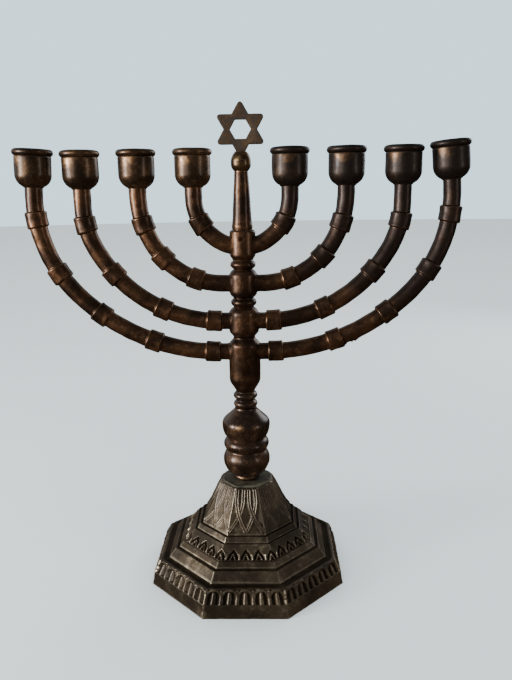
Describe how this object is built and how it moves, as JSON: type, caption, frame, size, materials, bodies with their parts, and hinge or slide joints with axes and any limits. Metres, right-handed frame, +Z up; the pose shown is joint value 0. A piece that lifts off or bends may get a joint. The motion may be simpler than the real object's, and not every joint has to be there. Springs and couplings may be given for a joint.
{
  "type": "menorah",
  "caption": "Branched Hanukkah candle holder: a turned stem on a hollow octagonal foot, nested curved arms with candle cups that swivel on the stem, and a star finial.",
  "frame": {"origin": "centre of the foot's underside, on the surface it stands on", "axes": "+Z up along the stem; X along the arms, -Y towards the viewer"},
  "size_m": [0.2347, 0.106, 0.2572],
  "materials": {
    "foot_bronze": "dark antiqued casting with pale worn edges",
    "stem_bronze": "dark brown patina, satin, worn to copper on the high spots",
    "arm_bronze": "dark brown patina, satin, worn to copper on the high spots",
    "cup_bronze": "dark brown patina, satin, worn to copper on the high spots",
    "ball_brass": "worn brass under thin patina",
    "star_bronze": "dark brown patina, flat and dull",
    "steel": "plain"
  },
  "bodies": {
    "stand": {"base_casting": "foot_bronze", "base_top_plate": "foot_bronze", "base_washer": "steel", "base_nut": "steel", "tie_rod": "steel", "foot_collar": "stem_bronze", "lower_knop": "stem_bronze", "knop_ring": "stem_bronze", "pear_bulb": "stem_bronze", "neck_rings": "stem_bronze", "lower_spacer_ring": "stem_bronze", "upper_spacer_ring": "stem_bronze", "spire": "stem_bronze", "finial_ball": "ball_brass", "star": "star_bronze"},
    "inner_pair": {"inner_hub": "stem_bronze", "inner_left_arm": "arm_bronze", "inner_left_sleeves": "arm_bronze", "inner_left_cup": "cup_bronze", "inner_right_arm": "arm_bronze", "inner_right_sleeves": "arm_bronze", "inner_right_cup": "cup_bronze"},
    "second_pair": {"second_hub": "stem_bronze", "second_left_arm": "arm_bronze", "second_left_sleeves": "arm_bronze", "second_left_cup": "cup_bronze", "second_right_arm": "arm_bronze", "second_right_sleeves": "arm_bronze", "second_right_cup": "cup_bronze"},
    "third_pair": {"third_hub": "stem_bronze", "third_left_arm": "arm_bronze", "third_left_sleeves": "arm_bronze", "third_left_cup": "cup_bronze", "third_right_arm": "arm_bronze", "third_right_sleeves": "arm_bronze", "third_right_cup": "cup_bronze"},
    "outer_pair": {"outer_hub": "stem_bronze", "outer_left_arm": "arm_bronze", "outer_left_sleeves": "arm_bronze", "outer_left_cup": "cup_bronze", "outer_right_arm": "arm_bronze", "outer_right_sleeves": "arm_bronze", "outer_right_cup": "cup_bronze"}
  },
  "joints": [
    {"name": "inner_pair_swivel", "type": "hinge", "parent": "stand", "child": "inner_pair", "pos_m": [0, 0, 0.185], "axis": [0, 0, 1], "continuous": true},
    {"name": "second_pair_swivel", "type": "hinge", "parent": "stand", "child": "second_pair", "pos_m": [0, 0, 0.1653], "axis": [0, 0, 1], "continuous": true},
    {"name": "third_pair_swivel", "type": "hinge", "parent": "stand", "child": "third_pair", "pos_m": [0, 0, 0.1449], "axis": [0, 0, 1], "continuous": true},
    {"name": "outer_pair_swivel", "type": "hinge", "parent": "stand", "child": "outer_pair", "pos_m": [0, 0, 0.1279], "axis": [0, 0, 1], "continuous": true}
  ]
}
